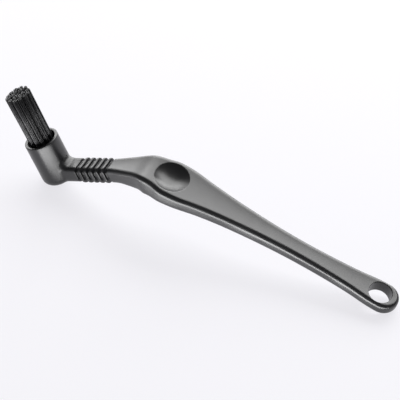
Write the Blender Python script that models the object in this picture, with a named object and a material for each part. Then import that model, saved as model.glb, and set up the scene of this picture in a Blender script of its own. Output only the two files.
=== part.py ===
"""Angled cleaning brush for coffee machines: a moulded plastic handle with nylon tufts staple-set in its socket.

The handle is drawn in its own frame: the origin is the middle of the thumb dish on the top face, +X runs towards
the hanging hole and +Z out of the top face. Distances "along the top line" are measured from that origin along the
middle of the top face: negative towards the bristles, positive towards the hole. At the end an empty stands the
whole brush on its elbow and tail, bristles up, with the middle of its bounding box over the world origin.
"""

import math
import random

import bmesh
import bpy
from mathutils import Matrix, Vector

# Top line of the handle, seen from the side
NECK_SLOPE = math.radians(35.1)
TAIL_SLOPE = math.radians(2.54)
BEND_START = 0.0060
BEND_LENGTH = 0.0177
DISH_TO_SOCKET = 0.0825
DISH_TO_FLARE = 0.0405
DISH_TO_STRAIGHT = 0.0342
DISH_TO_WAIST = 0.0833
DISH_TO_FLAT_TAIL = 0.1150
DISH_TO_TAIL_ARC = 0.1338

# Widths of the moulding
NECK_WIDTH = 0.0122
FLARE_WIDTH = 0.0266
WAIST_WIDTH = 0.0122
TAIL_WIDTH = 0.0175

# Thicknesses of the moulding, and where along the top line they are reached
NECK_THICKNESS = 0.0104
BELLY_THICKNESS = 0.0133
DISH_THICKNESS = 0.0107
GRIP_THICKNESS = 0.0092
WAIST_THICKNESS = 0.0084
TAIL_THICKNESS = 0.0080
DISH_TO_NECK_END = 0.0370
DISH_TO_BELLY = 0.0160
DISH_TO_GRIP = 0.0280

# Crown of the top face and the radii of the long edges
TOP_CROWN = 0.0003
TOP_EDGE_RADIUS = 0.0032
TAIL_EDGE_RADIUS = 0.0026
BOTTOM_EDGE_RADIUS = 0.0034

# Grooves that leave the raised finger ribs round the neck
RIB_COUNT = 5
RIB_WIDTH = 0.00165
GROOVE_WIDTH = 0.0025
GROOVE_DEPTH = 0.0011
GROOVE_WALL_RUN = 0.0003
RIB_RISE = 0.0003
DISH_TO_RIBS = 0.0409

# Thumb dish
DISH_RADIUS = 0.0102
DISH_DEPTH = 0.0031

# Hanging hole
HOLE_RADIUS = 0.0067
HOLE_FILLET = 0.0006
HOLE_BEFORE_TAIL_ARC = 0.0024

# Brush socket at the end of the neck
SOCKET_RADIUS = 0.0100
SOCKET_HEIGHT = 0.0292
SOCKET_CORNER_RADIUS = 0.0050
SOCKET_WALL = 0.0018
SOCKET_RIM_RADIUS = 0.0005
CUP_DEPTH = 0.0050
NECK_ABOVE_BASE = 0.0010
ELBOW_FILLET = 0.0042

# Tufts: one in the middle and two rings round it
INNER_RING_COUNT = 6
OUTER_RING_COUNT = 12
INNER_RING_RADIUS = 0.0029
OUTER_RING_RADIUS = 0.0058
TUFT_RADIUS = 0.0010
TUFT_SIDES = 6
TUFT_CLEARANCE = 0.00014
TUFT_HOLE_DEPTH = 0.0080
TUFT_END_GAP = 0.0002
BRISTLE_REACH = 0.0322
BRISTLE_INSET = 0.00006
CELL_CUTS = 1
BUNDLE_FLARE_SHARE = 1.08
TUFT_SPREAD_SHARE = 1.45
TUFT_LENGTH_SCATTER = 0.0004
STRAND_LENGTH_SCATTER = 0.0003

# Flat metal anchors that hold each folded tuft down
ANCHOR_WIDTH = 0.0026
ANCHOR_THICKNESS = 0.0004
ANCHOR_HEIGHT = 0.0018
ANCHOR_CLEARANCE = 0.00008
ANCHOR_LIFT = 0.0010

# One overrun serves every cut, and points closer than the merge distance are one point
OVERRUN = 0.0010
MERGE_DISTANCE = 0.000001

# The hole's cutter meets both faces this share of its fillet before the arc would run level with them
LEVEL_GAP_SHARE = 0.125

# Hand-chosen shares of the elbow's fillet buried in the socket and of the waist's distance where the crown fades
ROOT_SHARE = 0.5
CROWN_FADE_SHARE = 0.5

# Edges sharper than this stay crisp
CRISP_ANGLE = math.radians(32.0)

# Fineness of the facets
SPINE_STEPS = 144
TOP_ARC_STEPS = 4
BOTTOM_ARC_STEPS = 4
CROWN_STEPS = 2
TAIL_FAN_STEPS = 18
SOCKET_SEGMENTS = 56
SOCKET_CORNER_STEPS = 6
RIM_STEPS = 3
DISH_SEGMENTS = 40
DISH_RINGS = 7
HOLE_SEGMENTS = 36
HOLE_FILLET_STEPS = 3
TUFT_HOLE_STEPS = 5
FILLET_STEPS = 5

# How the width swells from neck to dish, dwindles to the waist and swells again to the tail:
# the first number is a share of that stretch, the second a share of the change in width.
FLARE_SHARES = ((0.0, 0.0), (0.25, 0.18), (0.42, 0.34), (0.62, 0.60), (0.82, 0.77), (1.0, 1.0))
TAPER_SHARES = ((0.0, 0.0), (0.11, 0.058), (0.26, 0.36), (0.48, 0.68), (0.76, 0.925), (1.0, 1.0))
TAIL_SHARES = ((0.0, 0.0), (0.35, 0.13), (0.64, 0.43), (0.86, 0.905), (1.0, 1.0))

# Stations between the ends of those stretches, as shares of each
FLARE_STATION_SHARES = (0.14, 0.28, 0.39, 0.47, 0.54, 0.61, 0.68, 0.76, 0.85, 0.93)
TAPER_STATION_SHARES = (0.07, 0.14, 0.21, 0.28, 0.36, 0.45, 0.56, 0.70, 0.85)
TAIL_STATION_SHARES = (0.17, 0.33, 0.48, 0.62, 0.75, 0.88)
FLAT_STATION_SHARES = (0.0, 0.26, 0.51, 0.76)

# Places of the extra points across half of the crowned top face
TOP_FACE_SHARES = tuple((step + 1) / CROWN_STEPS for step in range(CROWN_STEPS - 1))

PLASTIC_COLOUR = (0.035, 0.035, 0.038, 1.0)
BRISTLE_COLOUR = (0.045, 0.045, 0.047, 1.0)
ANCHOR_COLOUR = (0.62, 0.60, 0.55, 1.0)


def clear_scene():
    """Remove every object that the file opened with."""
    for old in list(bpy.data.objects):
        bpy.data.objects.remove(old, do_unlink=True)


def make_material(name, colour, roughness, metallic):
    """A Principled material in one plain finish."""
    material = bpy.data.materials.new(name)
    material.use_nodes = True
    shader = material.node_tree.nodes["Principled BSDF"]
    shader.inputs["Base Color"].default_value = colour
    shader.inputs["Roughness"].default_value = roughness
    shader.inputs["Metallic"].default_value = metallic
    material.diffuse_color = colour
    return material


def new_object(name, form, material=None):
    """Turn a bmesh into a named object in the scene."""
    bmesh.ops.recalc_face_normals(form, faces=form.faces)
    mesh = bpy.data.meshes.new(name)
    form.to_mesh(mesh)
    form.free()
    made = bpy.data.objects.new(name, mesh)
    bpy.context.scene.collection.objects.link(made)
    if material is not None:
        mesh.materials.append(material)
    return made


def hide_helper(helper):
    """Mark a cutter or a joined form as a guide and not a piece."""
    helper.hide_render = True
    helper.display_type = "WIRE"


def add_boolean(target, helper, operation):
    """Cut or join with the exact solver."""
    hide_helper(helper)
    modifier = target.modifiers.new(helper.name, "BOOLEAN")
    modifier.operation = operation
    modifier.solver = "EXACT"
    modifier.object = helper


def smooth_value(table, place):
    """Read a table of (place, value) pairs as one smooth curve, level at both ends."""
    slopes = []
    for index in range(len(table)):
        before = table[max(index - 1, 0)]
        after = table[min(index + 1, len(table) - 1)]
        slopes.append((after[1] - before[1]) / (after[0] - before[0]))
    slopes[0] = 0.0
    slopes[-1] = 0.0
    for index in range(len(table) - 1):
        left, right = table[index], table[index + 1]
        if place <= right[0] or index == len(table) - 2:
            span = right[0] - left[0]
            t = min(max((place - left[0]) / span, 0.0), 1.0)
            rise = t * t * (3 - 2 * t)
            lean_left = t * (1 - t) * (1 - t) * span * slopes[index]
            lean_right = t * t * (1 - t) * span * slopes[index + 1]
            return left[1] + (right[1] - left[1]) * rise + lean_left - lean_right
    return table[-1][1]


def ease(share):
    """Rise smoothly from 0 to 1."""
    t = min(max(share, 0.0), 1.0)
    return t * t * (3 - 2 * t)


def slope_at(along):
    """Slope of the top line, as an angle that is positive where the line climbs towards the tail."""
    if along < 0:
        return NECK_SLOPE * ease((-along - BEND_START) / BEND_LENGTH)
    return -TAIL_SLOPE * min(along / DISH_TO_STRAIGHT, 1.0)


def point_on_top_line(along):
    """Point of the top line at this distance from the dish, in the handle's frame."""
    point = Vector((0, 0, 0))
    stride = along / SPINE_STEPS
    for step in range(SPINE_STEPS):
        angle = slope_at((step + 0.5) * stride)
        point += Vector((math.cos(angle), 0, math.sin(angle))) * stride
    return point


def half_width_at(along):
    """Half the width of the moulding at this distance."""
    if along <= -DISH_TO_FLARE:
        width = NECK_WIDTH
    elif along < 0:
        share = smooth_value(FLARE_SHARES, (along + DISH_TO_FLARE) / DISH_TO_FLARE)
        width = NECK_WIDTH + (FLARE_WIDTH - NECK_WIDTH) * share
    elif along < DISH_TO_WAIST:
        share = smooth_value(TAPER_SHARES, along / DISH_TO_WAIST)
        width = FLARE_WIDTH + (WAIST_WIDTH - FLARE_WIDTH) * share
    else:
        share = smooth_value(TAIL_SHARES, (along - DISH_TO_WAIST) / (DISH_TO_TAIL_ARC - DISH_TO_WAIST))
        width = WAIST_WIDTH + (TAIL_WIDTH - WAIST_WIDTH) * share
    return width / 2


def thickness_at(along):
    """Thickness of the moulding at this distance: fullest under the bend, thin at the tail."""
    table = (
        (-DISH_TO_NECK_END, NECK_THICKNESS),
        (-DISH_TO_BELLY, BELLY_THICKNESS),
        (0.0, DISH_THICKNESS),
        (DISH_TO_GRIP, GRIP_THICKNESS),
        (DISH_TO_WAIST, WAIST_THICKNESS),
        (DISH_TO_TAIL_ARC, TAIL_THICKNESS),
    )
    return smooth_value(table, along)


def top_edge_radius_at(along):
    """Radius of the upper edge, which tightens behind the waist so that the tail's top stays flat."""
    share = ease((along - DISH_TO_WAIST) / (DISH_TO_FLAT_TAIL - DISH_TO_WAIST))
    return TOP_EDGE_RADIUS + (TAIL_EDGE_RADIUS - TOP_EDGE_RADIUS) * share


def crown_at(along):
    """Height of the top face's crown, which fades out before the flat tail and at the neck."""
    fade_start = DISH_TO_WAIST * CROWN_FADE_SHARE
    neck_fade = ease((along + DISH_TO_FLARE) / DISH_TO_FLARE)
    tail_fade = 1 - ease((along - fade_start) / (DISH_TO_WAIST - fade_start))
    return TOP_CROWN * neck_fade * tail_fade


def fillet_growth(gap, radius):
    """How far a concave fillet of this radius stands off its wall's neighbour at this gap from the wall."""
    reach = min(max(radius - gap, 0.0), radius)
    return radius - math.sqrt(radius * radius - reach * reach)


def elbow_rise(along, out):
    """Extra height of the concave fillet that runs round the socket's wall on the neck's top."""
    from_axis = math.hypot(along + DISH_TO_SOCKET, out)
    return fillet_growth(from_axis - SOCKET_RADIUS, ELBOW_FILLET)


def elbow_spread(along):
    """Extra half width of the concave fillets between the neck's sides and the socket's wall."""
    half = NECK_WIDTH / 2
    centre = math.sqrt((SOCKET_RADIUS + ELBOW_FILLET) ** 2 - (half + ELBOW_FILLET) ** 2)
    touch = centre * SOCKET_RADIUS / (SOCKET_RADIUS + ELBOW_FILLET)
    reach = centre - max(along + DISH_TO_SOCKET, touch)
    if reach <= 0:
        return 0.0
    return ELBOW_FILLET - math.sqrt(ELBOW_FILLET ** 2 - reach ** 2)


def half_section(along, sink):
    """Half of the cross-section as (sideways, up) pairs, from the middle of the top face to the middle below.

    sink shrinks the section all round: it is the groove's depth in a groove and negative on a raised rib.
    """
    half = half_width_at(along) + elbow_spread(along) - sink
    top = -sink
    bottom = -thickness_at(along) + sink
    crown = crown_at(along)
    upper = min(top_edge_radius_at(along), (top - bottom - crown) / 2)
    lower = min(BOTTOM_EDGE_RADIUS, (top - bottom - crown) / 2)
    flat = half - upper
    points = [(0.0, top + elbow_rise(along, 0.0))]
    for share in TOP_FACE_SHARES:
        out = flat * share
        points.append((out, top - crown * share * share + elbow_rise(along, out)))
    for step in range(TOP_ARC_STEPS + 1):
        angle = math.pi / 2 * step / TOP_ARC_STEPS
        out = flat + upper * math.sin(angle)
        lift = elbow_rise(along, out) * math.cos(angle)
        points.append((out, top - crown - upper + upper * math.cos(angle) + lift))
    for step in range(BOTTOM_ARC_STEPS + 1):
        angle = math.pi / 2 * step / BOTTOM_ARC_STEPS
        points.append((half - lower + lower * math.cos(angle), bottom + lower - lower * math.sin(angle)))
    points.append((0.0, bottom))
    return points


def groove_stations():
    """Distances and depths along the ribbed stretch: four stations to a groove, with ribs left between."""
    stations = []
    start = -DISH_TO_RIBS - GROOVE_WIDTH
    for groove in range(RIB_COUNT + 1):
        near = start - groove * (GROOVE_WIDTH + RIB_WIDTH)
        far = near + GROOVE_WIDTH
        outer_left = -RIB_RISE if groove < RIB_COUNT else 0.0
        outer_right = -RIB_RISE if groove > 0 else 0.0
        stations.append((near, outer_left))
        stations.append((near + GROOVE_WALL_RUN, GROOVE_DEPTH))
        stations.append((far - GROOVE_WALL_RUN, GROOVE_DEPTH))
        stations.append((far, outer_right))
    return stations


def body_stations():
    """Every station from inside the socket to the tail's round end, in order, with its depth of groove."""
    wall = -DISH_TO_SOCKET + SOCKET_RADIUS
    stations = [(-DISH_TO_SOCKET, 0.0), (wall - ELBOW_FILLET * ROOT_SHARE, 0.0)]
    for step in range(FILLET_STEPS + 1):
        angle = math.pi / 2 * step / FILLET_STEPS
        stations.append((wall + ELBOW_FILLET * (1 - math.cos(angle)), 0.0))
    stations += groove_stations()
    for share in FLARE_STATION_SHARES:
        stations.append((-DISH_TO_FLARE * (1 - share), 0.0))
    stations.append((0.0, 0.0))
    for share in TAPER_STATION_SHARES:
        stations.append((DISH_TO_WAIST * share, 0.0))
    stations.append((DISH_TO_WAIST, 0.0))
    for share in TAIL_STATION_SHARES:
        stations.append((DISH_TO_WAIST + (DISH_TO_FLAT_TAIL - DISH_TO_WAIST) * share, 0.0))
    for share in FLAT_STATION_SHARES:
        stations.append((DISH_TO_FLAT_TAIL + (DISH_TO_TAIL_ARC - DISH_TO_FLAT_TAIL) * share, 0.0))
    stations.sort()
    return stations


def frame_at(along):
    """Frame on the top line: x along it, y across and z out of the top face."""
    turn = Matrix.Rotation(-slope_at(along), 4, "Y")
    return Matrix.Translation(point_on_top_line(along)) @ turn


def add_row(form, along, sink, swing):
    """One half-section, swung about the frame's upright from the near side (-90 degrees) to the far side (+90)."""
    frame = frame_at(along)
    side = Vector((math.cos(swing), math.sin(swing), 0))
    return [form.verts.new(frame @ (side * out + Vector((0, 0, up)))) for out, up in half_section(along, sink)]


def build_body_form():
    """Carry the half-section up the near side, round the tail and back down the far side."""
    form = bmesh.new()
    stations = body_stations()
    near = -math.pi / 2
    far = math.pi / 2
    rows = [add_row(form, along, sink, near) for along, sink in stations]
    for step in range(TAIL_FAN_STEPS + 1):
        rows.append(add_row(form, DISH_TO_TAIL_ARC, 0.0, near + math.pi * step / TAIL_FAN_STEPS))
    rows += [add_row(form, along, sink, far) for along, sink in reversed(stations)]
    for one, two in zip(rows, rows[1:]):
        for index in range(len(one) - 1):
            form.faces.new((one[index], one[index + 1], two[index + 1], two[index]))
    bmesh.ops.remove_doubles(form, verts=form.verts, dist=MERGE_DISTANCE)
    rim = [edge for edge in form.edges if edge.is_boundary]
    bmesh.ops.holes_fill(form, edges=rim, sides=0)
    return form


def socket_frame():
    """Frame at the middle of the socket's base: z up the socket's axis, x along the neck towards the handle."""
    on_top_line = frame_at(-DISH_TO_SOCKET)
    drop = Matrix.Translation((0, 0, -NECK_THICKNESS - NECK_ABOVE_BASE))
    return on_top_line @ drop


def lathe(profile, segments):
    """Turn a profile of (radius, height) pairs about z. Points on the axis close it."""
    form = bmesh.new()
    verts = [form.verts.new((radius, 0, height)) for radius, height in profile]
    edges = [form.edges.new(pair) for pair in zip(verts, verts[1:])]
    bmesh.ops.spin(form, geom=verts + edges, cent=(0, 0, 0), axis=(0, 0, 1), angle=math.tau,
                   steps=segments, use_merge=False)
    bmesh.ops.remove_doubles(form, verts=form.verts, dist=MERGE_DISTANCE)
    return form


def arc(centre, radius, start, end, steps):
    """Points of an arc in the profile's plane, angles in degrees from the outward direction."""
    points = []
    for step in range(steps + 1):
        angle = math.radians(start + (end - start) * step / steps)
        points.append((centre[0] + radius * math.cos(angle), centre[1] + radius * math.sin(angle)))
    return points


def build_socket_form():
    """The cup that the tufts stand in, with its rounded base and rim."""
    corner = SOCKET_CORNER_RADIUS
    rim = SOCKET_RIM_RADIUS
    inner = SOCKET_RADIUS - SOCKET_WALL
    profile = [(0.0, 0.0)]
    profile += arc((SOCKET_RADIUS - corner, corner), corner, -90, 0, SOCKET_CORNER_STEPS)
    profile += arc((SOCKET_RADIUS - rim, SOCKET_HEIGHT - rim), rim, 0, 90, RIM_STEPS)
    profile += arc((inner + rim, SOCKET_HEIGHT - rim), rim, 90, 180, RIM_STEPS)
    profile += [(inner, SOCKET_HEIGHT - CUP_DEPTH), (0.0, SOCKET_HEIGHT - CUP_DEPTH)]
    return lathe(profile, SOCKET_SEGMENTS)


def build_dish_cutter():
    """A lens whose lower bowl is the thumb dish."""
    radius = (DISH_RADIUS ** 2 + DISH_DEPTH ** 2) / (2 * DISH_DEPTH)
    centre = radius - DISH_DEPTH
    brim = math.degrees(math.asin((centre - OVERRUN) / radius))
    profile = arc((0.0, centre), radius, -90, -brim, DISH_RINGS)
    profile.append((0.0, OVERRUN))
    return lathe(profile, DISH_SEGMENTS)


def build_hole_cutter():
    """A spool that bores the hanging hole and rounds both of its rims."""
    fillet = HOLE_FILLET
    wide = HOLE_RADIUS + fillet
    bottom = -TAIL_THICKNESS
    lift = fillet * LEVEL_GAP_SHARE
    profile = [(0.0, OVERRUN), (wide, OVERRUN)]
    profile += arc((wide, lift - fillet), fillet, 90, 180, HOLE_FILLET_STEPS)
    profile += arc((wide, bottom + fillet - lift), fillet, 180, 270, HOLE_FILLET_STEPS)
    profile += [(wide, bottom - OVERRUN), (0.0, bottom - OVERRUN)]
    return lathe(profile, HOLE_SEGMENTS)


def tuft_centres():
    """Places of the tufts across the socket's floor, from the middle outwards."""
    centres = [(0.0, 0.0)]
    for count, radius in ((INNER_RING_COUNT, INNER_RING_RADIUS), (OUTER_RING_COUNT, OUTER_RING_RADIUS)):
        for step in range(count):
            angle = math.tau * (step + 0.5) / count
            centres.append((radius * math.cos(angle), radius * math.sin(angle)))
    return centres


def add_box(form, low, high):
    """Add a box between two corners."""
    size = [b - a for a, b in zip(low, high)]
    middle = [(a + b) / 2 for a, b in zip(low, high)]
    place = Matrix.Translation(middle) @ Matrix.Diagonal((*size, 1))
    bmesh.ops.create_cube(form, size=1.0, matrix=place)


def anchor_base():
    """Height of the anchors' lower edge above the socket's base."""
    return SOCKET_HEIGHT - CUP_DEPTH - TUFT_HOLE_DEPTH + ANCHOR_LIFT


def keyhole_outline():
    """Outline of a tuft's hole: round, with a slot at each side that the anchor's ends bite into."""
    radius = TUFT_RADIUS + TUFT_CLEARANCE
    thick = ANCHOR_THICKNESS / 2 + ANCHOR_CLEARANCE
    wide = ANCHOR_WIDTH / 2 + ANCHOR_CLEARANCE
    edge = math.degrees(math.acos(thick / radius))
    right = arc((0.0, 0.0), radius, -edge, edge, TUFT_HOLE_STEPS)
    left = arc((0.0, 0.0), radius, 180 - edge, 180 + edge, TUFT_HOLE_STEPS)
    return right + [(thick, wide), (-thick, wide)] + left + [(-thick, -wide), (thick, -wide)]


def build_tuft_hole_cutter():
    """One blind keyhole for each tuft and its anchor."""
    form = bmesh.new()
    floor = SOCKET_HEIGHT - CUP_DEPTH
    low = floor - TUFT_HOLE_DEPTH
    high = floor + OVERRUN
    for x, y in tuft_centres():
        bottom = [form.verts.new((x + across, y + along, low)) for across, along in keyhole_outline()]
        pulled = bmesh.ops.extrude_face_region(form, geom=[form.faces.new(bottom)])["geom"]
        for vert in pulled:
            if isinstance(vert, bmesh.types.BMVert):
                vert.co.z = high
    return form


def build_handle(material):
    """The one moulding: socket, elbow, ribbed neck, dished grip and holed tail."""
    handle = new_object("handle", build_body_form(), material)
    frame = socket_frame()

    socket = new_object("socket_form", build_socket_form())
    socket.matrix_world = frame
    add_boolean(handle, socket, "UNION")

    tuft_holes = new_object("tuft_hole_cutter", build_tuft_hole_cutter())
    tuft_holes.matrix_world = frame
    add_boolean(handle, tuft_holes, "DIFFERENCE")

    dish = new_object("thumb_dish_cutter", build_dish_cutter())
    add_boolean(handle, dish, "DIFFERENCE")

    hole = new_object("hanging_hole_cutter", build_hole_cutter())
    hole.matrix_world = frame_at(DISH_TO_TAIL_ARC - HOLE_BEFORE_TAIL_ARC)
    add_boolean(handle, hole, "DIFFERENCE")

    return handle, [socket, tuft_holes, dish, hole]


def build_tuft(number, centre, frame, material):
    """A folded tuft: a slug that fills its hole and the strands that fan out of it."""
    chance = random.Random(number)
    floor = SOCKET_HEIGHT - CUP_DEPTH
    bottom = floor - TUFT_HOLE_DEPTH + TUFT_END_GAP
    reach = CUP_DEPTH + BRISTLE_REACH + chance.uniform(-TUFT_LENGTH_SCATTER, TUFT_LENGTH_SCATTER)
    middle = Vector((centre[0], centre[1], floor))
    form = bmesh.new()
    bmesh.ops.create_circle(form, cap_ends=True, cap_tris=True, segments=TUFT_SIDES, radius=TUFT_RADIUS,
                            matrix=Matrix.Translation(middle))
    bmesh.ops.subdivide_edges(form, edges=form.edges, cuts=CELL_CUTS, use_grid_fill=True)
    cells = list(form.faces)

    rim = [edge for edge in form.edges if edge.is_boundary]
    pulled = bmesh.ops.extrude_edge_only(form, edges=rim)["geom"]
    for vert in pulled:
        if isinstance(vert, bmesh.types.BMVert):
            vert.co.z = bottom
    low_rim = [edge for edge in pulled if isinstance(edge, bmesh.types.BMEdge) and edge.is_boundary]
    bmesh.ops.contextual_create(form, geom=low_rim)

    bmesh.ops.inset_individual(form, faces=cells, thickness=BRISTLE_INSET, depth=0.0)
    strands = bmesh.ops.extrude_discrete_faces(form, faces=cells)["faces"]
    for strand in strands:
        root = strand.calc_center_median()
        offset = root - middle
        tip = Vector((centre[0], centre[1], 0)) * BUNDLE_FLARE_SHARE + offset * TUFT_SPREAD_SHARE
        tip.z = floor + reach + chance.uniform(-STRAND_LENGTH_SCATTER, STRAND_LENGTH_SCATTER)
        for vert in strand.verts:
            vert.co += tip - root
    tuft = new_object(f"bristle_tuft_{number:02d}", form, material)
    tuft.matrix_world = frame
    return tuft


def build_fold_cutter(number, centre, frame):
    """The eye in a tuft's fold that its anchor passes through."""
    form = bmesh.new()
    thick = ANCHOR_THICKNESS / 2 + ANCHOR_CLEARANCE
    low = anchor_base() - ANCHOR_CLEARANCE
    high = anchor_base() + ANCHOR_HEIGHT + ANCHOR_CLEARANCE
    x, y = centre
    add_box(form, (x - thick, y - ANCHOR_WIDTH, low), (x + thick, y + ANCHOR_WIDTH, high))
    cutter = new_object(f"fold_cutter_{number:02d}", form)
    cutter.matrix_world = frame
    return cutter


def build_anchor(number, centre, frame, material):
    """A flat strip driven across the hole, its ends in the slots of the wall."""
    form = bmesh.new()
    x, y = centre
    low = (x - ANCHOR_THICKNESS / 2, y - ANCHOR_WIDTH / 2, anchor_base())
    high = (x + ANCHOR_THICKNESS / 2, y + ANCHOR_WIDTH / 2, anchor_base() + ANCHOR_HEIGHT)
    add_box(form, low, high)
    anchor = new_object(f"tuft_anchor_{number:02d}", form, material)
    anchor.matrix_world = frame
    return anchor


def shade_round(made):
    """Shade a rounded piece smooth and keep its edges crisp."""
    made.data.shade_smooth()
    made.data.set_sharp_from_angle(angle=CRISP_ANGLE)


def resting_tilt():
    """Angle between the handle's own level and the floor that touches its elbow and its tail."""
    corner = SOCKET_CORNER_RADIUS
    elbow = socket_frame() @ Vector((-(SOCKET_RADIUS - corner), 0, corner))
    edge = BOTTOM_EDGE_RADIUS
    tail = frame_at(DISH_TO_TAIL_ARC) @ Vector((TAIL_WIDTH / 2 - edge, 0, edge - TAIL_THICKNESS))
    span = tail - elbow
    lean = math.asin((edge - corner) / span.length)
    return math.atan2(span.z, span.x) - lean


def stand_up(pieces, helpers):
    """Parent everything to one empty, tilt it on to the floor and centre it over the origin."""
    stand = bpy.data.objects.new("stand", None)
    bpy.context.scene.collection.objects.link(stand)
    for made in pieces + helpers:
        made.parent = stand
    stand.rotation_euler = (0, resting_tilt(), 0)
    bpy.context.view_layer.update()
    shapes = bpy.context.evaluated_depsgraph_get()
    corners = []
    for made in pieces:
        shape = made.evaluated_get(shapes)
        corners += [shape.matrix_world @ vert.co for vert in shape.data.vertices]
    lowest = min(point.z for point in corners)
    left = min(point.x for point in corners)
    right = max(point.x for point in corners)
    stand.location = (-(left + right) / 2, 0, -lowest)
    bpy.context.view_layer.update()


def main():
    clear_scene()
    plastic = make_material("black_plastic", PLASTIC_COLOUR, 0.32, 0.0)
    nylon = make_material("black_nylon", BRISTLE_COLOUR, 0.45, 0.0)
    steel = make_material("anchor_metal", ANCHOR_COLOUR, 0.35, 1.0)

    handle, helpers = build_handle(plastic)
    shade_round(handle)
    pieces = [handle]
    frame = socket_frame()
    for number, centre in enumerate(tuft_centres(), start=1):
        tuft = build_tuft(number, centre, frame, nylon)
        eye = build_fold_cutter(number, centre, frame)
        add_boolean(tuft, eye, "DIFFERENCE")
        anchor = build_anchor(number, centre, frame, steel)
        pieces += [tuft, anchor]
        helpers.append(eye)
    stand_up(pieces, helpers)


main()
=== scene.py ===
"""Looks of the angled coffee machine cleaning brush, in metres.

A smooth handle moulding, nylon tufts made filament by filament, and a studio floor, camera and lamps.
The handle is shaped in its own frame, as a maker would draw it: the origin is the middle of the thumb
dish, +X runs towards the hanging hole and +Z out of the top face. settle() then lays each finished
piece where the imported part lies.
"""

import math
import random

import bmesh
import bpy
from mathutils import Matrix, Vector


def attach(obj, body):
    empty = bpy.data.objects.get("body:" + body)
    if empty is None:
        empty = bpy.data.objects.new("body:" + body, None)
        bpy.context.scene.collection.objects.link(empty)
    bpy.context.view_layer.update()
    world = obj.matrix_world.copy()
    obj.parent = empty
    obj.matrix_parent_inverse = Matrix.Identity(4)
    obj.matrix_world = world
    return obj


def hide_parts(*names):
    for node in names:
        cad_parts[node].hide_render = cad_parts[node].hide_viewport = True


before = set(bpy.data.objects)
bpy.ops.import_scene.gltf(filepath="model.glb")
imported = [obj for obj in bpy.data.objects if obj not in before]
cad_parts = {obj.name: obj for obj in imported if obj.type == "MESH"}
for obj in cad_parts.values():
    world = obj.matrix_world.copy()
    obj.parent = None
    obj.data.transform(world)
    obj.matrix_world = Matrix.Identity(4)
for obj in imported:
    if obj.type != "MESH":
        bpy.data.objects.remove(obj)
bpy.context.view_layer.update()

# How the handle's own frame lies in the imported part
REST_TILT = math.radians(10.465194)
DISH_PLACE = Vector((-0.01728734, 0.0, 0.03843332))

# Top line of the handle, seen from the side
NECK_SLOPE = math.radians(35.1)
TAIL_SLOPE = math.radians(2.54)
BEND_START = 0.0060
BEND_LENGTH = 0.0177
DISH_TO_SOCKET = 0.0825
DISH_TO_FLARE = 0.0405
DISH_TO_STRAIGHT = 0.0342
DISH_TO_WAIST = 0.0833
DISH_TO_FLAT_TAIL = 0.1150
DISH_TO_TAIL_ARC = 0.1338

# Widths and thicknesses of the moulding, and where the thicknesses are reached
NECK_WIDTH = 0.0122
FLARE_WIDTH = 0.0266
WAIST_WIDTH = 0.0122
TAIL_WIDTH = 0.0175
NECK_THICKNESS = 0.0104
BELLY_THICKNESS = 0.0133
DISH_THICKNESS = 0.0107
GRIP_THICKNESS = 0.0092
WAIST_THICKNESS = 0.0084
TAIL_THICKNESS = 0.0080
DISH_TO_NECK_END = 0.0370
DISH_TO_BELLY = 0.0160
DISH_TO_GRIP = 0.0280

# Cross-section: the top face is slightly hollow and rises to its rounded edges at this lean
TOP_LEAN = math.radians(4.2)
TOP_EDGE_RADIUS = 0.0025
TAIL_EDGE_RADIUS = 0.0022
BOTTOM_EDGE_RADIUS = 0.0034

# Ribs round the neck
RIB_COUNT = 5
RIB_PITCH = 0.00415
FIRST_GROOVE_TO_DISH = 0.04215
GROOVE_DEPTH = 0.0013
RIB_RISE = 0.0003

# Thumb dish, hanging hole and socket
DISH_RADIUS = 0.0102
DISH_DEPTH = 0.0031
DISH_LIP_RADIUS = 0.0011
DISH_LIP_END = math.radians(9.0)
HOLE_RADIUS = 0.0067
HOLE_FILLET = 0.0006
HOLE_FILLET_LIFT = 0.000036
HOLE_BEFORE_TAIL_ARC = 0.0024
SOCKET_RADIUS = 0.0100
SOCKET_HEIGHT = 0.0292
SOCKET_CORNER_RADIUS = 0.0050
SOCKET_WALL = 0.0018
SOCKET_RIM_RADIUS = 0.0005
CUP_DEPTH = 0.0050
NECK_ABOVE_BASE = 0.0010
ELBOW_FILLET = 0.0042
ELBOW_SHARE_INSIDE = 0.8

# Tufts, and the filaments folded into them
INNER_RING_COUNT = 6
OUTER_RING_COUNT = 12
INNER_RING_RADIUS = 0.0029
OUTER_RING_RADIUS = 0.0058
TUFT_HOLE_RADIUS = 0.00127
TUFT_HOLE_DEPTH = 0.0080
BRISTLE_REACH = 0.0322
BUNDLE_FLARE = 1.03
TUFT_SPREAD_AT_RIM = 1.18
TUFT_SPREAD_AT_TIP = 1.34
TUFT_LENGTH_SCATTER = 0.00025
FILAMENT_LENGTH_SCATTER = 0.0003
FILAMENT_LEAN = 0.00010
FILAMENT_BOW = 0.00004
FILAMENT_RADIUS = 0.00022
FILAMENT_SPACING = 2.05
FILAMENT_SIDES = 6
FILAMENT_STEPS = 10
FIRST_TUFT_SEED = 100
ANCHOR_WIDTH = 0.0026
ANCHOR_THICKNESS = 0.0004
ANCHOR_CLEARANCE = 0.00008
ANCHOR_LIFT = 0.0010

# How the filaments fold: columns at one side of the anchor, rows each way from the middle, share of the
# lean that is there at the rim, and depth of the loop as a share of the distance from the anchor
FOLD_COLUMNS = 3
FOLD_ROWS = 3
LEAN_AT_RIM = 0.2
LOOP_DEPTH = 0.75

# Chamfer round a filament's cut end, as shares of its radius
CUT_CHAMFER_WIDTH = 0.35
CUT_CHAMFER_DEPTH = 0.3

# Room round a cutting form, and the gaps that merging closes
OVERRUN = 0.0010
MERGE_GAP = 0.000004
MIRROR_GAP = 0.00002

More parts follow.
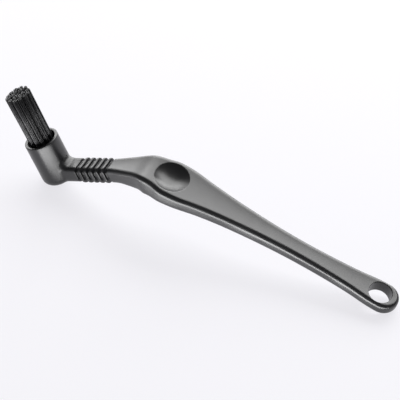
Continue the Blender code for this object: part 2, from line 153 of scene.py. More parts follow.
# Steps along the handle, round its section and round the turned forms
LINE_STEPS = 144
ELBOW_STATIONS = 22
GRIP_STATIONS = 96
TAIL_ARC_STEPS = 14
TOP_FACE_STEPS = 12
TOP_EDGE_STEPS = 6
BOTTOM_EDGE_STEPS = 5
BOTTOM_FACE_SHARES = (0.6, 0.3, 0.0)
BOWL_STEPS = 22
LIP_STEPS = 6
DISH_SEGMENTS = 144
SOCKET_CORNER_STEPS = 12
SOCKET_WALL_STEPS = 12
SOCKET_RIM_STEPS = 5
SOCKET_FLOOR_STEPS = 4
SOCKET_SEGMENTS = 112
HOLE_FILLET_STEPS = 8
HOLE_SEGMENTS = 96
DRILL_STEPS = 10
SMOOTH_ANGLE = math.radians(38)

# Width along the flare, the taper and the tail, as shares of each stretch and of its change in width
FLARE_SHARES = ((0.0, 0.0), (0.25, 0.18), (0.42, 0.34), (0.62, 0.60), (0.82, 0.77), (1.0, 1.0))
TAPER_SHARES = ((0.0, 0.0), (0.11, 0.058), (0.26, 0.36), (0.48, 0.68), (0.76, 0.925), (1.0, 1.0))
TAIL_SHARES = ((0.0, 0.0), (0.35, 0.13), (0.64, 0.43), (0.86, 0.905), (1.0, 1.0))

# Half of one rib and its groove: share of the half pitch from the crown, and share of the depth
RIB_SHARES = (
    (0.0, 0.0), (0.16, 0.0), (0.28, 0.01), (0.34, 0.06), (0.38, 0.22),
    (0.41, 0.55), (0.44, 0.85), (0.48, 0.97), (0.58, 1.0), (0.80, 1.0),
)


# Working by hand: selection, edit mode and modifiers

def pick(*pieces):
    """Leave edit mode and select these pieces alone, the first one active."""
    if bpy.context.object and bpy.context.object.mode != "OBJECT":
        bpy.ops.object.mode_set(mode="OBJECT")
    bpy.ops.object.select_all(action="DESELECT")
    for piece in pieces:
        piece.select_set(True)
    bpy.context.view_layer.objects.active = pieces[0] if pieces else None


def edit(piece):
    """Open a piece in edit mode."""
    pick(piece)
    bpy.ops.object.mode_set(mode="EDIT")


def finish_with(piece, kind, **settings):
    """Add a modifier, set it and apply it."""
    modifier = piece.modifiers.new(kind.lower(), kind)
    for key, value in settings.items():
        setattr(modifier, key, value)
    pick(piece)
    bpy.ops.object.modifier_apply(modifier=modifier.name)


def close_up(piece):
    """Merge doubles, drop faces that have no area and turn every face outwards."""
    edit(piece)
    bpy.ops.mesh.select_all(action="SELECT")
    bpy.ops.mesh.remove_doubles(threshold=MERGE_GAP)
    bpy.ops.mesh.dissolve_degenerate(threshold=MERGE_GAP)
    bpy.ops.mesh.normals_make_consistent(inside=False)
    bpy.ops.object.mode_set(mode="OBJECT")


def start_line(name, first):
    """A single point in edit mode, to draw a line from."""
    pick()
    bpy.ops.mesh.primitive_plane_add(size=OVERRUN)
    piece = bpy.context.object
    piece.name = name
    bpy.ops.object.mode_set(mode="EDIT")
    bpy.ops.mesh.select_mode(type="VERT")
    bpy.ops.mesh.merge(type="CENTER")
    bpy.ops.transform.translate(value=first)
    return piece


def draw_line(name, points):
    """Draw an edge line point by point, and leave it selected in edit mode."""
    piece = start_line(name, points[0])
    for before, after in zip(points, points[1:]):
        step = Vector(after) - Vector(before)
        bpy.ops.mesh.extrude_region_move(TRANSFORM_OT_translate={"value": step})
    bpy.ops.mesh.select_all(action="SELECT")
    return piece


def lathe(name, profile, segments):
    """Turn a profile of (radius, height) pairs about Z."""
    piece = draw_line(name, [(radius, 0, height) for radius, height in profile])
    bpy.ops.mesh.spin(steps=segments, angle=math.tau, center=(0, 0, 0), axis=(0, 0, 1))
    close_up(piece)
    return piece


def arc(centre, radius, start, end, steps):
    """Points of an arc in a profile, angles in degrees from the outward direction."""
    points = []
    for step in range(steps + 1):
        angle = math.radians(start + (end - start) * step / steps)
        points.append((centre[0] + radius * math.cos(angle), centre[1] + radius * math.sin(angle)))
    return points


# The handle's lines

def ease(share):
    """Rise smoothly from 0 to 1."""
    t = min(max(share, 0.0), 1.0)
    return t * t * (3 - 2 * t)


def smooth_value(table, place):
    """Read a table of (place, value) pairs as one smooth curve, level at both ends."""
    slopes = []
    for index in range(len(table)):
        before = table[max(index - 1, 0)]
        after = table[min(index + 1, len(table) - 1)]
        slopes.append((after[1] - before[1]) / (after[0] - before[0]))
    slopes[0] = 0.0
    slopes[-1] = 0.0
    for index in range(len(table) - 1):
        left, right = table[index], table[index + 1]
        if place <= right[0] or index == len(table) - 2:
            span = right[0] - left[0]
            t = min(max((place - left[0]) / span, 0.0), 1.0)
            rise = t * t * (3 - 2 * t)
            lean_left = t * (1 - t) * (1 - t) * span * slopes[index]
            lean_right = t * t * (1 - t) * span * slopes[index + 1]
            return left[1] + (right[1] - left[1]) * rise + lean_left - lean_right
    return table[-1][1]


def slope_at(along):
    """Slope of the top line at this distance from the dish."""
    if along < 0:
        return NECK_SLOPE * ease((-along - BEND_START) / BEND_LENGTH)
    return -TAIL_SLOPE * min(along / DISH_TO_STRAIGHT, 1.0)


def frame_at(along):
    """Frame on the top line: x along it, y across and z out of the top face."""
    point = Vector((0, 0, 0))
    stride = along / LINE_STEPS
    for step in range(LINE_STEPS):
        angle = slope_at((step + 0.5) * stride)
        point += Vector((math.cos(angle), 0, math.sin(angle))) * stride
    return Matrix.Translation(point) @ Matrix.Rotation(-slope_at(along), 4, "Y")


def half_width_at(along):
    """Half the width of the moulding."""
    if along <= -DISH_TO_FLARE:
        return NECK_WIDTH / 2
    if along < 0:
        share = smooth_value(FLARE_SHARES, (along + DISH_TO_FLARE) / DISH_TO_FLARE)
        return (NECK_WIDTH + (FLARE_WIDTH - NECK_WIDTH) * share) / 2
    if along < DISH_TO_WAIST:
        share = smooth_value(TAPER_SHARES, along / DISH_TO_WAIST)
        return (FLARE_WIDTH + (WAIST_WIDTH - FLARE_WIDTH) * share) / 2
    share = smooth_value(TAIL_SHARES, (along - DISH_TO_WAIST) / (DISH_TO_TAIL_ARC - DISH_TO_WAIST))
    return (WAIST_WIDTH + (TAIL_WIDTH - WAIST_WIDTH) * share) / 2


def thickness_at(along):
    """Thickness of the moulding: fullest under the bend, thin at the tail."""
    table = (
        (-DISH_TO_NECK_END, NECK_THICKNESS),
        (-DISH_TO_BELLY, BELLY_THICKNESS),
        (0.0, DISH_THICKNESS),
        (DISH_TO_GRIP, GRIP_THICKNESS),
        (DISH_TO_WAIST, WAIST_THICKNESS),
        (DISH_TO_TAIL_ARC, TAIL_THICKNESS),
    )
    return smooth_value(table, along)


def top_edge_radius_at(along):
    """Radius of the upper edge, a little tighter round the tail."""
    share = ease((along - DISH_TO_WAIST) / (DISH_TO_FLAT_TAIL - DISH_TO_WAIST))
    return TOP_EDGE_RADIUS + (TAIL_EDGE_RADIUS - TOP_EDGE_RADIUS) * share


def flat_at(along, half):
    """How far the top face reaches from the middle before it turns over the edge."""
    return half - top_edge_radius_at(along) * (1 + math.sin(TOP_LEAN))


def hollow_at(flat, out):
    """How far the slightly hollow top face lies below its own edge."""
    share = min(out / flat, 1.0)
    return flat * math.tan(TOP_LEAN) / 2 * (1 - share * share)


def elbow_rise(along, out):
    """Extra height of the concave fillet that runs round the socket's wall on the neck's top."""
    from_axis = math.hypot(along + DISH_TO_SOCKET, out)
    reach = min(max(ELBOW_FILLET - from_axis + SOCKET_RADIUS, 0.0), ELBOW_FILLET)
    return ELBOW_FILLET - math.sqrt(ELBOW_FILLET ** 2 - reach ** 2)


def elbow_spread(along):
    """Extra half width of the concave fillets between the neck's sides and the socket's wall."""
    centre = math.sqrt((SOCKET_RADIUS + ELBOW_FILLET) ** 2 - (NECK_WIDTH / 2 + ELBOW_FILLET) ** 2)
    touch = centre * SOCKET_RADIUS / (SOCKET_RADIUS + ELBOW_FILLET)
    reach = centre - max(along + DISH_TO_SOCKET, touch)
    return ELBOW_FILLET - math.sqrt(ELBOW_FILLET ** 2 - reach ** 2) if reach > 0 else 0.0


def half_section(along, sink):
    """Half of the cross-section as (out, up) pairs, from the middle of the top face to the middle below."""
    half = half_width_at(along) + elbow_spread(along) - sink
    top = -sink
    bottom = -thickness_at(along) + sink
    upper = top_edge_radius_at(along)
    lower = BOTTOM_EDGE_RADIUS
    flat = flat_at(along, half)
    points = []
    for step in range(TOP_FACE_STEPS):
        out = flat * step / TOP_FACE_STEPS
        points.append((out, top - hollow_at(flat, out) + elbow_rise(along, out)))
    for z, x in arc((0, 0), upper, -math.degrees(TOP_LEAN), 90, TOP_EDGE_STEPS):
        out = half - upper + x
        points.append((out, top - upper + z + elbow_rise(along, out) * z / upper))
    points.append((half, (top - upper + bottom + lower) / 2))
    for x, z in arc((0, 0), lower, 0, 90, BOTTOM_EDGE_STEPS):
        points.append((half - lower + x, bottom + lower - z))
    points += [((half - lower) * share, bottom) for share in BOTTOM_FACE_SHARES]
    return points


def rib_stations():
    """Distances and depths over the ribs, from the flat before the first groove to that after the last."""
    half = RIB_PITCH / 2
    stations = []
    for groove in range(RIB_COUNT + 1):
        middle = -FIRST_GROOVE_TO_DISH - groove * RIB_PITCH
        for side in (-1, 1):
            plain = (groove == 0 and side == 1) or (groove == RIB_COUNT and side == -1)
            for share, fall in RIB_SHARES:
                if share == 0.0 and side == -1 and not plain:
                    continue
                crown = 0.0 if plain else -RIB_RISE
                depth = crown + (GROOVE_DEPTH - crown) * fall
                stations.append((middle + side * half * (1 - share), depth))
        stations.append((middle, GROOVE_DEPTH))
    return stations


def body_stations():
    """Every station from inside the socket to the tail's arc, with its depth of groove."""
    wall = -DISH_TO_SOCKET + SOCKET_RADIUS
    stations = [(-DISH_TO_SOCKET, 0.0), (-DISH_TO_SOCKET + SOCKET_RADIUS / 2, 0.0)]
    inside = wall - ELBOW_FILLET * ELBOW_SHARE_INSIDE
    reach = ELBOW_FILLET * (1 + ELBOW_SHARE_INSIDE)
    for step in range(ELBOW_STATIONS):
        stations.append((inside + reach * step / (ELBOW_STATIONS - 1), 0.0))
    stations += rib_stations()
    last_rib = max(along for along, _ in stations)
    for step in range(1, GRIP_STATIONS + 1):
        stations.append((last_rib + (DISH_TO_TAIL_ARC - last_rib) * step / GRIP_STATIONS, 0.0))
    stations.sort()
    return stations


def lay_section(piece, along, sink):
    """Move the selected line of points on to the near side's section at this distance."""
    mesh = bmesh.from_edit_mesh(piece.data)
    order = mesh.verts.layers.int["order"]
    place = frame_at(along)
    section = half_section(along, sink)
    for vert in mesh.verts:
        if vert.select:
            out, up = section[vert[order]]
            vert.co = place @ Vector((0, -out, up))
    bmesh.update_edit_mesh(piece.data)


def sweep_body():
    """Extrude the half section along the near side, spin it round the tail and mirror it to the far side."""
    stations = body_stations()
    place = frame_at(stations[0][0])
    section = half_section(stations[0][0], 0.0)
    body = draw_line("handle_moulding", [place @ Vector((0, -out, up)) for out, up in section])
    mesh = bmesh.from_edit_mesh(body.data)
    order = mesh.verts.layers.int.new("order")
    mesh.verts.ensure_lookup_table()
    for vert in mesh.verts:
        gaps = [(vert.co - place @ Vector((0, -out, up))).length for out, up in section]
        vert[order] = gaps.index(min(gaps))
    bmesh.update_edit_mesh(body.data)
    for along, sink in stations[1:]:
        bpy.ops.mesh.extrude_edges_move()
        lay_section(body, along, sink)
    tail = frame_at(DISH_TO_TAIL_ARC)
    upright = tail.to_3x3() @ Vector((0, 0, 1))
    bpy.ops.mesh.spin(steps=TAIL_ARC_STEPS, angle=-math.pi / 2, center=tail.translation, axis=upright)
    close_up(body)
    finish_with(body, "MIRROR", use_axis=(False, True, False), use_clip=True, merge_threshold=MIRROR_GAP)
    edit(body)
    bpy.ops.mesh.select_all(action="DESELECT")
    bpy.ops.mesh.select_mode(type="EDGE")
    bpy.ops.mesh.select_non_manifold(extend=False, use_boundary=True, use_wire=False,
                                     use_multi_face=False, use_non_contiguous=False, use_verts=False)
    bpy.ops.mesh.edge_face_add()
    close_up(body)
    finish_with(body, "SUBSURF", levels=1, render_levels=1)
    return body


def top_height(x, y):
    """Height of the top face over this place beside the dish."""
    half = half_width_at(x)
    flat = flat_at(x, half)
    over = max(abs(y) - half + TOP_EDGE_RADIUS, 0.0)
    fall = hollow_at(flat, abs(y)) + TOP_EDGE_RADIUS - math.sqrt(TOP_EDGE_RADIUS ** 2 - over ** 2)
    return frame_at(x).translation.z - fall


def make_dish_cutter():
    """A lens whose lower bowl is the thumb dish, with a lip that rolls over into the top face all round."""
    bowl = (DISH_RADIUS ** 2 + DISH_DEPTH ** 2) / (2 * DISH_DEPTH)
    middle = bowl - DISH_DEPTH
    lip = DISH_LIP_RADIUS
    turn = math.acos((middle + lip * math.cos(DISH_LIP_END)) / (bowl + lip))
    lip_out = (bowl + lip) * math.sin(turn)
    lip_up = middle - (bowl + lip) * math.cos(turn)
    profile = []
    for step in range(BOWL_STEPS):
        angle = turn * step / BOWL_STEPS
        profile.append((bowl * math.sin(angle), middle - bowl * math.cos(angle)))
    for step in range(LIP_STEPS + 1):
        angle = turn + (DISH_LIP_END - turn) * step / LIP_STEPS
        profile.append((lip_out - lip * math.sin(angle), lip_up + lip * math.cos(angle)))
    rise = math.tan(DISH_LIP_END) * OVERRUN
    profile += [(profile[-1][0] + OVERRUN, rise), (profile[-1][0] + OVERRUN, OVERRUN), (0.0, OVERRUN)]
    cutter = lathe("dish_cutter", profile, DISH_SEGMENTS)
    for vert in cutter.data.vertices:
        vert.co.z += top_height(vert.co.x, vert.co.y)
    return cutter


def socket_frame():
    """Frame at the middle of the socket's base, z up its axis."""
    return frame_at(-DISH_TO_SOCKET) @ Matrix.Translation((0, 0, -NECK_THICKNESS - NECK_ABOVE_BASE))


def make_socket():
    """The cup at the end of the neck."""
    corner = SOCKET_CORNER_RADIUS
    rim = SOCKET_RIM_RADIUS
    inner = SOCKET_RADIUS - SOCKET_WALL
    floor = SOCKET_HEIGHT - CUP_DEPTH
    rise = (SOCKET_HEIGHT - corner) / SOCKET_WALL_STEPS
    profile = [(0.0, 0.0), (SOCKET_RADIUS / 4, 0.0)]
    profile += arc((SOCKET_RADIUS - corner, corner), corner, -90, 0, SOCKET_CORNER_STEPS)
    profile += [(SOCKET_RADIUS, corner + rise * step) for step in range(1, SOCKET_WALL_STEPS)]
    profile += arc((SOCKET_RADIUS - rim, SOCKET_HEIGHT - rim), rim, 0, 90, SOCKET_RIM_STEPS)
    profile += arc((inner + rim, SOCKET_HEIGHT - rim), rim, 90, 180, SOCKET_RIM_STEPS)
    profile += [(inner, floor + rim * 2)]
    profile += arc((inner - rim, floor + rim), rim, 0, -90, SOCKET_FLOOR_STEPS)
    profile += [(0.0, floor)]
    socket = lathe("socket_form", profile, SOCKET_SEGMENTS)
    place_form(socket, socket_frame())
    return socket


def place_form(piece, place):
    """Put a form in place and leave its object at the origin."""
    pick(piece)
    piece.matrix_world = place
    bpy.ops.object.transform_apply(location=True, rotation=True, scale=True)


def tuft_centres():
    """Places of the tufts across the socket's floor, from the middle outwards."""
    centres = [(0.0, 0.0)]
    for count, radius in ((INNER_RING_COUNT, INNER_RING_RADIUS), (OUTER_RING_COUNT, OUTER_RING_RADIUS)):
        for step in range(count):
            angle = math.tau * (step + 0.5) / count
            centres.append((radius * math.cos(angle), radius * math.sin(angle)))
    return centres


def make_tuft_hole_cutter():
    """A blind keyhole for each tuft: round, with a slot at each side that the anchor's ends bite into."""
    thick = ANCHOR_THICKNESS / 2 + ANCHOR_CLEARANCE
    wide = ANCHOR_WIDTH / 2 + ANCHOR_CLEARANCE
    edge = math.degrees(math.acos(thick / TUFT_HOLE_RADIUS))
    outline = arc((0.0, 0.0), TUFT_HOLE_RADIUS, -edge, edge, DRILL_STEPS)
    outline += [(thick, wide), (-thick, wide)]
    outline += arc((0.0, 0.0), TUFT_HOLE_RADIUS, 180 - edge, 180 + edge, DRILL_STEPS)
    outline += [(-thick, -wide), (thick, -wide)]
    low = SOCKET_HEIGHT - CUP_DEPTH - TUFT_HOLE_DEPTH
    drill = draw_line("tuft_drill", [(x, y, low) for x, y in outline])
    bpy.ops.mesh.edge_face_add()
    bpy.ops.mesh.extrude_region_move(TRANSFORM_OT_translate={"value": (0, 0, TUFT_HOLE_DEPTH + OVERRUN)})
    close_up(drill)
    drills = []
    for x, y in tuft_centres():
        copy = drill.copy()
        copy.data = drill.data.copy()
        bpy.context.scene.collection.objects.link(copy)
        copy.location = (x, y, 0)
        drills.append(copy)
    bpy.data.objects.remove(drill, do_unlink=True)
    pick(*drills)
    bpy.ops.object.transform_apply(location=True, rotation=True, scale=True)
    bpy.ops.object.join()
    cutter = bpy.context.object
    place_form(cutter, socket_frame())
    return cutter


def make_hole_cutter():
    """A spool that bores the hanging hole and rounds both of its rims."""
    wide = HOLE_RADIUS + HOLE_FILLET
    bottom = -TAIL_THICKNESS
    inset = HOLE_FILLET - HOLE_FILLET_LIFT
    profile = [(0.0, OVERRUN), (wide, OVERRUN)]
    profile += arc((wide, -inset), HOLE_FILLET, 90, 180, HOLE_FILLET_STEPS)
    profile += arc((wide, bottom + inset), HOLE_FILLET, 180, 270, HOLE_FILLET_STEPS)
    profile += [(wide, bottom - OVERRUN), (0.0, bottom - OVERRUN)]
    cutter = lathe("hole_cutter", profile, HOLE_SEGMENTS)
    place_form(cutter, frame_at(DISH_TO_TAIL_ARC - HOLE_BEFORE_TAIL_ARC))
    return cutter


def combine(piece, form, operation):
    """Join or cut with a form, then throw the form away."""
    finish_with(piece, "BOOLEAN", operation=operation, solver="EXACT", object=form)
    bpy.data.objects.remove(form, do_unlink=True)


def settle(piece, body_name):
    """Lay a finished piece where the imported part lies, and let it ride there."""
    tilt = Matrix.Rotation(REST_TILT, 4, "Y")
    place_form(piece, Matrix.Translation(DISH_PLACE) @ tilt)
    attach(piece, body_name)


# Filaments

def fold_places():
    """Places of the filaments on one side of a tuft's anchor, packed like coins in the hole."""
    pitch = FILAMENT_RADIUS * FILAMENT_SPACING
    room = TUFT_HOLE_RADIUS - FILAMENT_RADIUS
    places = []
    for column in range(FOLD_COLUMNS):
        across = pitch * (0.5 + column * math.sqrt(3) / 2)
        for row in range(-FOLD_ROWS, FOLD_ROWS + 1):
            along = pitch * (row + (0.5 if column % 2 else 0.0))
            if math.hypot(across, along) <= room:
                places.append((across, along))
    return places


def filament_path(chance, centre, place, tuft_reach):
    """Path of one folded filament: from a cut tip down, under the anchor and up to the other tip."""
    across, along = place
    floor = SOCKET_HEIGHT - CUP_DEPTH
    anchor_low = floor - TUFT_HOLE_DEPTH + ANCHOR_LIFT
    beside = ANCHOR_THICKNESS / 2 + FILAMENT_RADIUS
    room = TUFT_HOLE_RADIUS - FILAMENT_RADIUS
    pushed = beside + across * (room - beside) / room
    legs = []
    for side in (1, -1):
        lean = Vector((chance.uniform(-1, 1), chance.uniform(-1, 1), 0)) * FILAMENT_LEAN
        bow = Vector((chance.uniform(-1, 1), chance.uniform(-1, 1), 0)) * FILAMENT_BOW
        offset = Vector((side * across, along, 0))
        middle = Vector((centre[0], centre[1], 0))
        low = Vector((centre[0] + side * pushed, centre[1] + along, anchor_low))
        root = middle + offset + Vector((0, 0, floor))
        rim = middle + offset * TUFT_SPREAD_AT_RIM + lean * LEAN_AT_RIM + Vector((0, 0, SOCKET_HEIGHT))
        reach = tuft_reach + chance.uniform(-FILAMENT_LENGTH_SCATTER, FILAMENT_LENGTH_SCATTER)
        tip = middle * BUNDLE_FLARE + offset * TUFT_SPREAD_AT_TIP + lean
        tip.z = SOCKET_HEIGHT + reach
        legs.append([low, root, rim, rim.lerp(tip, 0.5) + bow, tip])
    under = Vector((centre[0], centre[1] + along, anchor_low - pushed * LOOP_DEPTH))
    return list(reversed(legs[0])) + [under] + legs[1]


def make_filament_blank(steps):
    """A straight filament one unit long for each step of its path, with a chamfer round both cut ends."""
    pick()
    bpy.ops.mesh.primitive_circle_add(vertices=FILAMENT_SIDES, radius=FILAMENT_RADIUS, fill_type="NGON")
    blank = bpy.context.object
    edit(blank)
    bpy.ops.mesh.select_mode(type="FACE")
    bpy.ops.mesh.select_all(action="SELECT")
    for _ in range(steps):
        bpy.ops.mesh.extrude_region_move(TRANSFORM_OT_translate={"value": (0, 0, 1)})
    mesh = bmesh.from_edit_mesh(blank.data)
    for face in mesh.faces:
        face.select_set(len(face.verts) == FILAMENT_SIDES)
    bmesh.update_edit_mesh(blank.data)
    bpy.ops.mesh.normals_make_consistent(inside=False)
    width = FILAMENT_RADIUS * CUT_CHAMFER_WIDTH
    bpy.ops.mesh.inset(thickness=width, depth=FILAMENT_RADIUS * CUT_CHAMFER_DEPTH, use_individual=True)
    bpy.ops.object.mode_set(mode="OBJECT")
    close_up(blank)
    return blank


def lay_filament(blank, path, shade):
    """A copy of the straight filament, laid along its path and given its own shade."""
    copy = blank.copy()
    copy.data = blank.data.copy()
    bpy.context.scene.collection.objects.link(copy)
    last = len(path) - 1
    chamfer_middle = FILAMENT_RADIUS * CUT_CHAMFER_DEPTH / 2
    places = []
    for index, point in enumerate(path):
        run = (path[min(index + 1, last)] - path[max(index - 1, 0)]).normalized()
        side = Vector((0, 1, 0)).cross(run).normalized()
        places.append((point, side, run.cross(side), run))
    tint = copy.data.attributes.new("shade", "FLOAT", "POINT")
    # Marks the cut ends, where the nylon material paints a highlight
    ends = copy.data.attributes.new("cut_end_highlight_mask", "FLOAT", "POINT")
    for vert in copy.data.vertices:
        ring = min(max(round(vert.co.z), 0), last)
        point, side, over, run = places[ring]
        beyond = vert.co.z - ring
        tint.data[vert.index].value = shade
        ends.data[vert.index].value = 1.0 if abs(beyond) > chamfer_middle else 0.0
        vert.co = point + side * vert.co.x + over * vert.co.y + run * beyond
    for face in copy.data.polygons:
        face.use_smooth = len(face.vertices) == 4
    return copy


def make_tuft(number, centre, blank):
    """One folded tuft, filament by filament."""
    chance = random.Random(FIRST_TUFT_SEED + number)
    reach = BRISTLE_REACH + chance.uniform(-TUFT_LENGTH_SCATTER, TUFT_LENGTH_SCATTER)
    filaments = []
    for place in fold_places():
        path = filament_path(chance, centre, place, reach)
        filaments.append(lay_filament(blank, path, chance.uniform(0.0, 1.0)))
    pick(*filaments)
    bpy.ops.object.join()
    tuft = bpy.context.object
    tuft.name = f"nylon_tuft_{number:02d}"
    tuft.data.name = tuft.name
    place_form(tuft, socket_frame())
    return tuft


# Materials

PLASTIC_DARK = (0.006, 0.006, 0.007, 1.0)
PLASTIC_LIGHT = (0.010, 0.010, 0.011, 1.0)
NYLON_DARK = (0.003, 0.003, 0.004, 1.0)
NYLON_LIGHT = (0.060, 0.060, 0.063, 1.0)
# Cut ends: partly the rough cut's own greyer tone, mostly a painted highlight where the tips face the light
# above
CUT_END_AND_HIGHLIGHT_DARK = (0.10, 0.10, 0.103, 1.0)
CUT_END_AND_HIGHLIGHT_LIGHT = (0.34, 0.34, 0.345, 1.0)
STRIP_DARK = (0.56, 0.54, 0.49, 1.0)
STRIP_LIGHT = (0.68, 0.66, 0.61, 1.0)


def new_material(name, colour, roughness, metallic=0.0):
    """A material with its Principled shader, and the node tree to build on."""
    material = bpy.data.materials.new(name)
    material.use_nodes = True
    tree = material.node_tree
    shader = tree.nodes["Principled BSDF"]
    shader.inputs["Base Color"].default_value = colour
    shader.inputs["Roughness"].default_value = roughness
    shader.inputs["Metallic"].default_value = metallic
    return material, tree, shader


def add_node(tree, kind, **values):
    """Add a node and set its inputs or settings by name."""
    node = tree.nodes.new(kind)
    for key, value in values.items():
        name = key.replace("_", " ").title()
        if name in node.inputs:
            node.inputs[name].default_value = value
        else:
            setattr(node, key, value)
    return node


def ramp(tree, source, stops):
    """Feed a value through a colour ramp."""
    node = tree.nodes.new("ShaderNodeValToRGB")
    elements = node.color_ramp.elements
    while len(elements) < len(stops):
        elements.new(0.5)
    for element, (position, value) in zip(elements, stops):
        element.position = position
        element.color = value if isinstance(value, tuple) else (value, value, value, 1.0)
    tree.links.new(source, node.inputs["Fac"])
    return node.outputs["Color"]


def plastic_material():
    """Black plastic with a satin gloss: cloudy polish, fine grain and faint drag marks along the handle."""
    material, tree, shader = new_material("satin_black_plastic", (0.008, 0.008, 0.009, 1.0), 0.32)
    shader.inputs["IOR"].default_value = 1.58
    links = tree.links
    place = tree.nodes.new("ShaderNodeTexCoord").outputs["Object"]
    clouds = add_node(tree, "ShaderNodeTexNoise", scale=120.0, detail=4.0, roughness=0.6)
    links.new(place, clouds.inputs["Vector"])
    links.new(ramp(tree, clouds.outputs["Fac"], ((0.3, 0.29), (0.7, 0.36))), shader.inputs["Roughness"])
    tint = ramp(tree, clouds.outputs["Fac"], ((0.25, PLASTIC_DARK), (0.75, PLASTIC_LIGHT)))
    links.new(tint, shader.inputs["Base Color"])
    stretch = add_node(tree, "ShaderNodeMapping")
    stretch.inputs["Scale"].default_value = (0.08, 1.0, 1.0)
    links.new(place, stretch.inputs["Vector"])
    drag = add_node(tree, "ShaderNodeTexNoise", scale=2600.0, detail=2.0)
    links.new(stretch.outputs["Vector"], drag.inputs["Vector"])
    grain = add_node(tree, "ShaderNodeTexNoise", scale=5200.0, detail=3.0)
    links.new(place, grain.inputs["Vector"])
    both = add_node(tree, "ShaderNodeMath", operation="ADD")
    links.new(drag.outputs["Fac"], both.inputs[0])
    links.new(grain.outputs["Fac"], both.inputs[1])
    bump = add_node(tree, "ShaderNodeBump", strength=0.04, distance=0.00003)
    links.new(both.outputs["Value"], bump.inputs["Height"])
    links.new(bump.outputs["Normal"], shader.inputs["Normal"])
    return material


def nylon_material():
    """Black nylon filament, each a little lighter or darker than the next, with cut ends painted lighter:
    partly the cut's own greyer tone, mostly a painted highlight where the tips face the light.
    """
    material, tree, shader = new_material("black_nylon_filament", (0.03, 0.03, 0.032, 1.0), 0.45)
    shader.inputs["Specular IOR Level"].default_value = 0.38
    links = tree.links
    shade = add_node(tree, "ShaderNodeAttribute", attribute_name="shade")
    side = ramp(tree, shade.outputs["Fac"], ((0.4, NYLON_DARK), (1.0, NYLON_LIGHT)))
    # The cut ends get a painted highlight, much lighter than the nylon's black, on top of the cut's own
    # greyer tone
    cut = ramp(tree, shade.outputs["Fac"], ((0.0, CUT_END_AND_HIGHLIGHT_DARK), (1.0, CUT_END_AND_HIGHLIGHT_LIGHT)))
    ends = add_node(tree, "ShaderNodeAttribute", attribute_name="cut_end_highlight_mask")
    mix = add_node(tree, "ShaderNodeMix", data_type="RGBA")
    links.new(ends.outputs["Fac"], mix.inputs["Factor"])
    links.new(side, mix.inputs["A"])
    links.new(cut, mix.inputs["B"])
    links.new(mix.outputs["Result"], shader.inputs["Base Color"])
    place = tree.nodes.new("ShaderNodeTexCoord").outputs["Object"]
    wear = add_node(tree, "ShaderNodeTexNoise", scale=900.0, detail=3.0)
    links.new(place, wear.inputs["Vector"])
    dulled = add_node(tree, "ShaderNodeMath", operation="SUBTRACT")
    links.new(wear.outputs["Fac"], dulled.inputs[0])
    links.new(shade.outputs["Fac"], dulled.inputs[1])
    links.new(ramp(tree, dulled.outputs["Value"], ((0.0, 0.32), (0.5, 0.80))), shader.inputs["Roughness"])
    return material


def anchor_material():
    """Rolled strip, faintly streaked."""
    material, tree, shader = new_material("rolled_anchor_strip", (0.62, 0.60, 0.55, 1.0), 0.32, 1.0)
    links = tree.links
    place = tree.nodes.new("ShaderNodeTexCoord").outputs["Object"]
    streaks = add_node(tree, "ShaderNodeTexNoise", scale=3000.0, detail=3.0)
    links.new(place, streaks.inputs["Vector"])
    links.new(ramp(tree, streaks.outputs["Fac"], ((0.3, 0.25), (0.7, 0.42))), shader.inputs["Roughness"])
    tint = ramp(tree, streaks.outputs["Fac"], ((0.2, STRIP_DARK), (0.8, STRIP_LIGHT)))
    links.new(tint, shader.inputs["Base Color"])
    return material


def dress(piece, material):
    """Give a piece one material."""
    piece.data.materials.clear()
    piece.data.materials.append(material)


# The studio

CAMERA_AZIMUTH = math.radians(27.358)
CAMERA_ELEVATION = math.radians(47.425)
CAMERA_PLACE = (0.41284, -0.79750, 1.00575)
CAMERA_LENS = 216.0
CAMERA_SENSOR = 36.0
CAMERA_NEAR = 0.05
CAMERA_FAR = 20.0
FLOOR_SIZE = 6.0
FLOOR_DROP = 0.0002
FLOOR_COLOUR = (0.93, 0.93, 0.95, 1.0)
PAPER_COLOUR = (0.939, 0.930, 0.973, 1.0)
PAPER_SHARE = 0.8
ROOM_LIGHT = 0.14
LAMP_AIM = (0.0, 0.0, 0.02)
STRIP_LIFT = 0.001

# Soft boxes behind the brush: name, place, width and height, and brightness of the face
SOFT_BOXES = (
    ("back_low_box", (-0.16, 1.13, 0.33), (1.0, 0.6), 5.0),
    ("back_high_box", (0.0, 0.838, 0.879), (1.6, 0.655), 4.1),
    ("left_low_box", (-0.958, 0.719, 0.16), (0.85, 0.30), 4.0),
    ("gap_box", (-0.72, 0.72, 0.56), (0.50, 0.50), 2.4),
)

# Level strips on the floor in front, seen only as the bright line along the near side
FLOOR_STRIPS = (
    ("left_strip", (-0.035, -0.105), (0.11, 0.12), 6.2),
    ("middle_strip", (0.050, -0.145), (0.06, 0.224), 9.0),
    ("right_strip", (0.120, -0.140), (0.08, 0.240), 9.0),
)


def make_camera():
    """The photograph's viewing angle."""
    data = bpy.data.cameras.new("camera")
    data.sensor_width = CAMERA_SENSOR
    data.lens = CAMERA_LENS
    data.clip_start = CAMERA_NEAR
    data.clip_end = CAMERA_FAR
    camera = bpy.data.objects.new("camera", data)
    camera.location = CAMERA_PLACE
    camera.rotation_euler = (math.pi / 2 - CAMERA_ELEVATION, 0, CAMERA_AZIMUTH)
    bpy.context.scene.collection.objects.link(camera)
    bpy.context.scene.camera = camera


def make_lamp(name, place, aim, size, brightness):
    """A soft box that points at a place; brightness is that of its own face, 1 being white."""
    data = bpy.data.lights.new(name, "AREA")
    data.shape = "RECTANGLE"
    data.size, data.size_y = size
    data.energy = 4 * brightness * size[0] * size[1]
    lamp = bpy.data.objects.new(name, data)
    lamp.location = place
    lamp.rotation_euler = (Vector(aim) - Vector(place)).to_track_quat("-Z", "Y").to_euler()
    lamp.visible_camera = False
    bpy.context.scene.collection.objects.link(lamp)


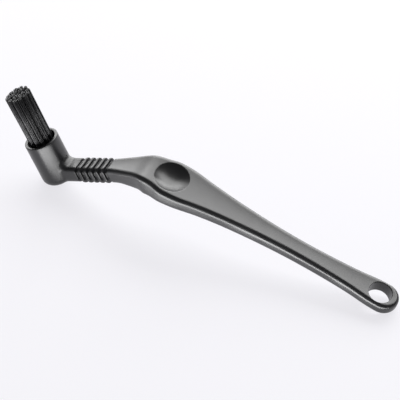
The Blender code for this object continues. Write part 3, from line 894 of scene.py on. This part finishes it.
def make_floor():
    """A plain pale floor, seen and mirrored as the photo's even paper with a share of its own shading."""
    pick()
    bpy.ops.mesh.primitive_plane_add(size=FLOOR_SIZE, location=(0, 0, -FLOOR_DROP))
    floor = bpy.context.object
    floor.name = "studio_floor"
    material, tree, shader = new_material("pale_floor", FLOOR_COLOUR, 0.9)
    shader.inputs["Specular IOR Level"].default_value = 0.0
    paper = add_node(tree, "ShaderNodeEmission", color=PAPER_COLOUR)
    seen = tree.nodes.new("ShaderNodeLightPath")
    mirrored = add_node(tree, "ShaderNodeMath", operation="ADD")
    tree.links.new(seen.outputs["Is Glossy Ray"], mirrored.inputs[0])
    tree.links.new(seen.outputs["Is Transmission Ray"], mirrored.inputs[1])
    either = add_node(tree, "ShaderNodeMath", operation="ADD", use_clamp=True)
    tree.links.new(seen.outputs["Is Camera Ray"], either.inputs[0])
    tree.links.new(mirrored.outputs["Value"], either.inputs[1])
    share = add_node(tree, "ShaderNodeMath", operation="MULTIPLY")
    share.inputs[1].default_value = PAPER_SHARE
    mix = tree.nodes.new("ShaderNodeMixShader")
    tree.links.new(either.outputs["Value"], share.inputs[0])
    tree.links.new(share.outputs["Value"], mix.inputs["Fac"])
    tree.links.new(shader.outputs["BSDF"], mix.inputs[1])
    tree.links.new(paper.outputs["Emission"], mix.inputs[2])
    tree.links.new(mix.outputs["Shader"], tree.nodes["Material Output"].inputs["Surface"])
    dress(floor, material)


def make_studio():
    """Soft boxes behind, level strips on the floor in front, and weak light from all round."""
    scene = bpy.context.scene
    scene.view_settings.view_transform = "Standard"
    world = bpy.data.worlds.new("studio")
    world.use_nodes = True
    background = world.node_tree.nodes["Background"]
    background.inputs["Color"].default_value = (1.0, 1.0, 1.0, 1.0)
    background.inputs["Strength"].default_value = ROOM_LIGHT
    scene.world = world
    for name, place, size, brightness in SOFT_BOXES:
        make_lamp(name, place, LAMP_AIM, size, brightness)
    for name, (x, y), size, brightness in FLOOR_STRIPS:
        make_lamp(name, (x, y, STRIP_LIFT), (x, y, 1.0), size, brightness)


def main():
    body = sweep_body()
    combine(body, make_dish_cutter(), "DIFFERENCE")
    combine(body, make_socket(), "UNION")
    combine(body, make_tuft_hole_cutter(), "DIFFERENCE")
    combine(body, make_hole_cutter(), "DIFFERENCE")
    close_up(body)
    pick(body)
    bpy.ops.object.shade_smooth_by_angle(angle=SMOOTH_ANGLE)
    dress(body, plastic_material())
    settle(body, "root")
    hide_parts("handle")

    nylon = nylon_material()
    blank = make_filament_blank(FILAMENT_STEPS)
    for number, centre in enumerate(tuft_centres(), start=1):
        tuft = make_tuft(number, centre, blank)
        dress(tuft, nylon)
        settle(tuft, "root")
        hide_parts(f"bristle_tuft_{number:02d}")

    bpy.data.objects.remove(blank, do_unlink=True)

    strip = anchor_material()
    for name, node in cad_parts.items():
        if name.startswith("tuft_anchor"):
            dress(node, strip)

    make_floor()
    make_camera()
    make_studio()


main()
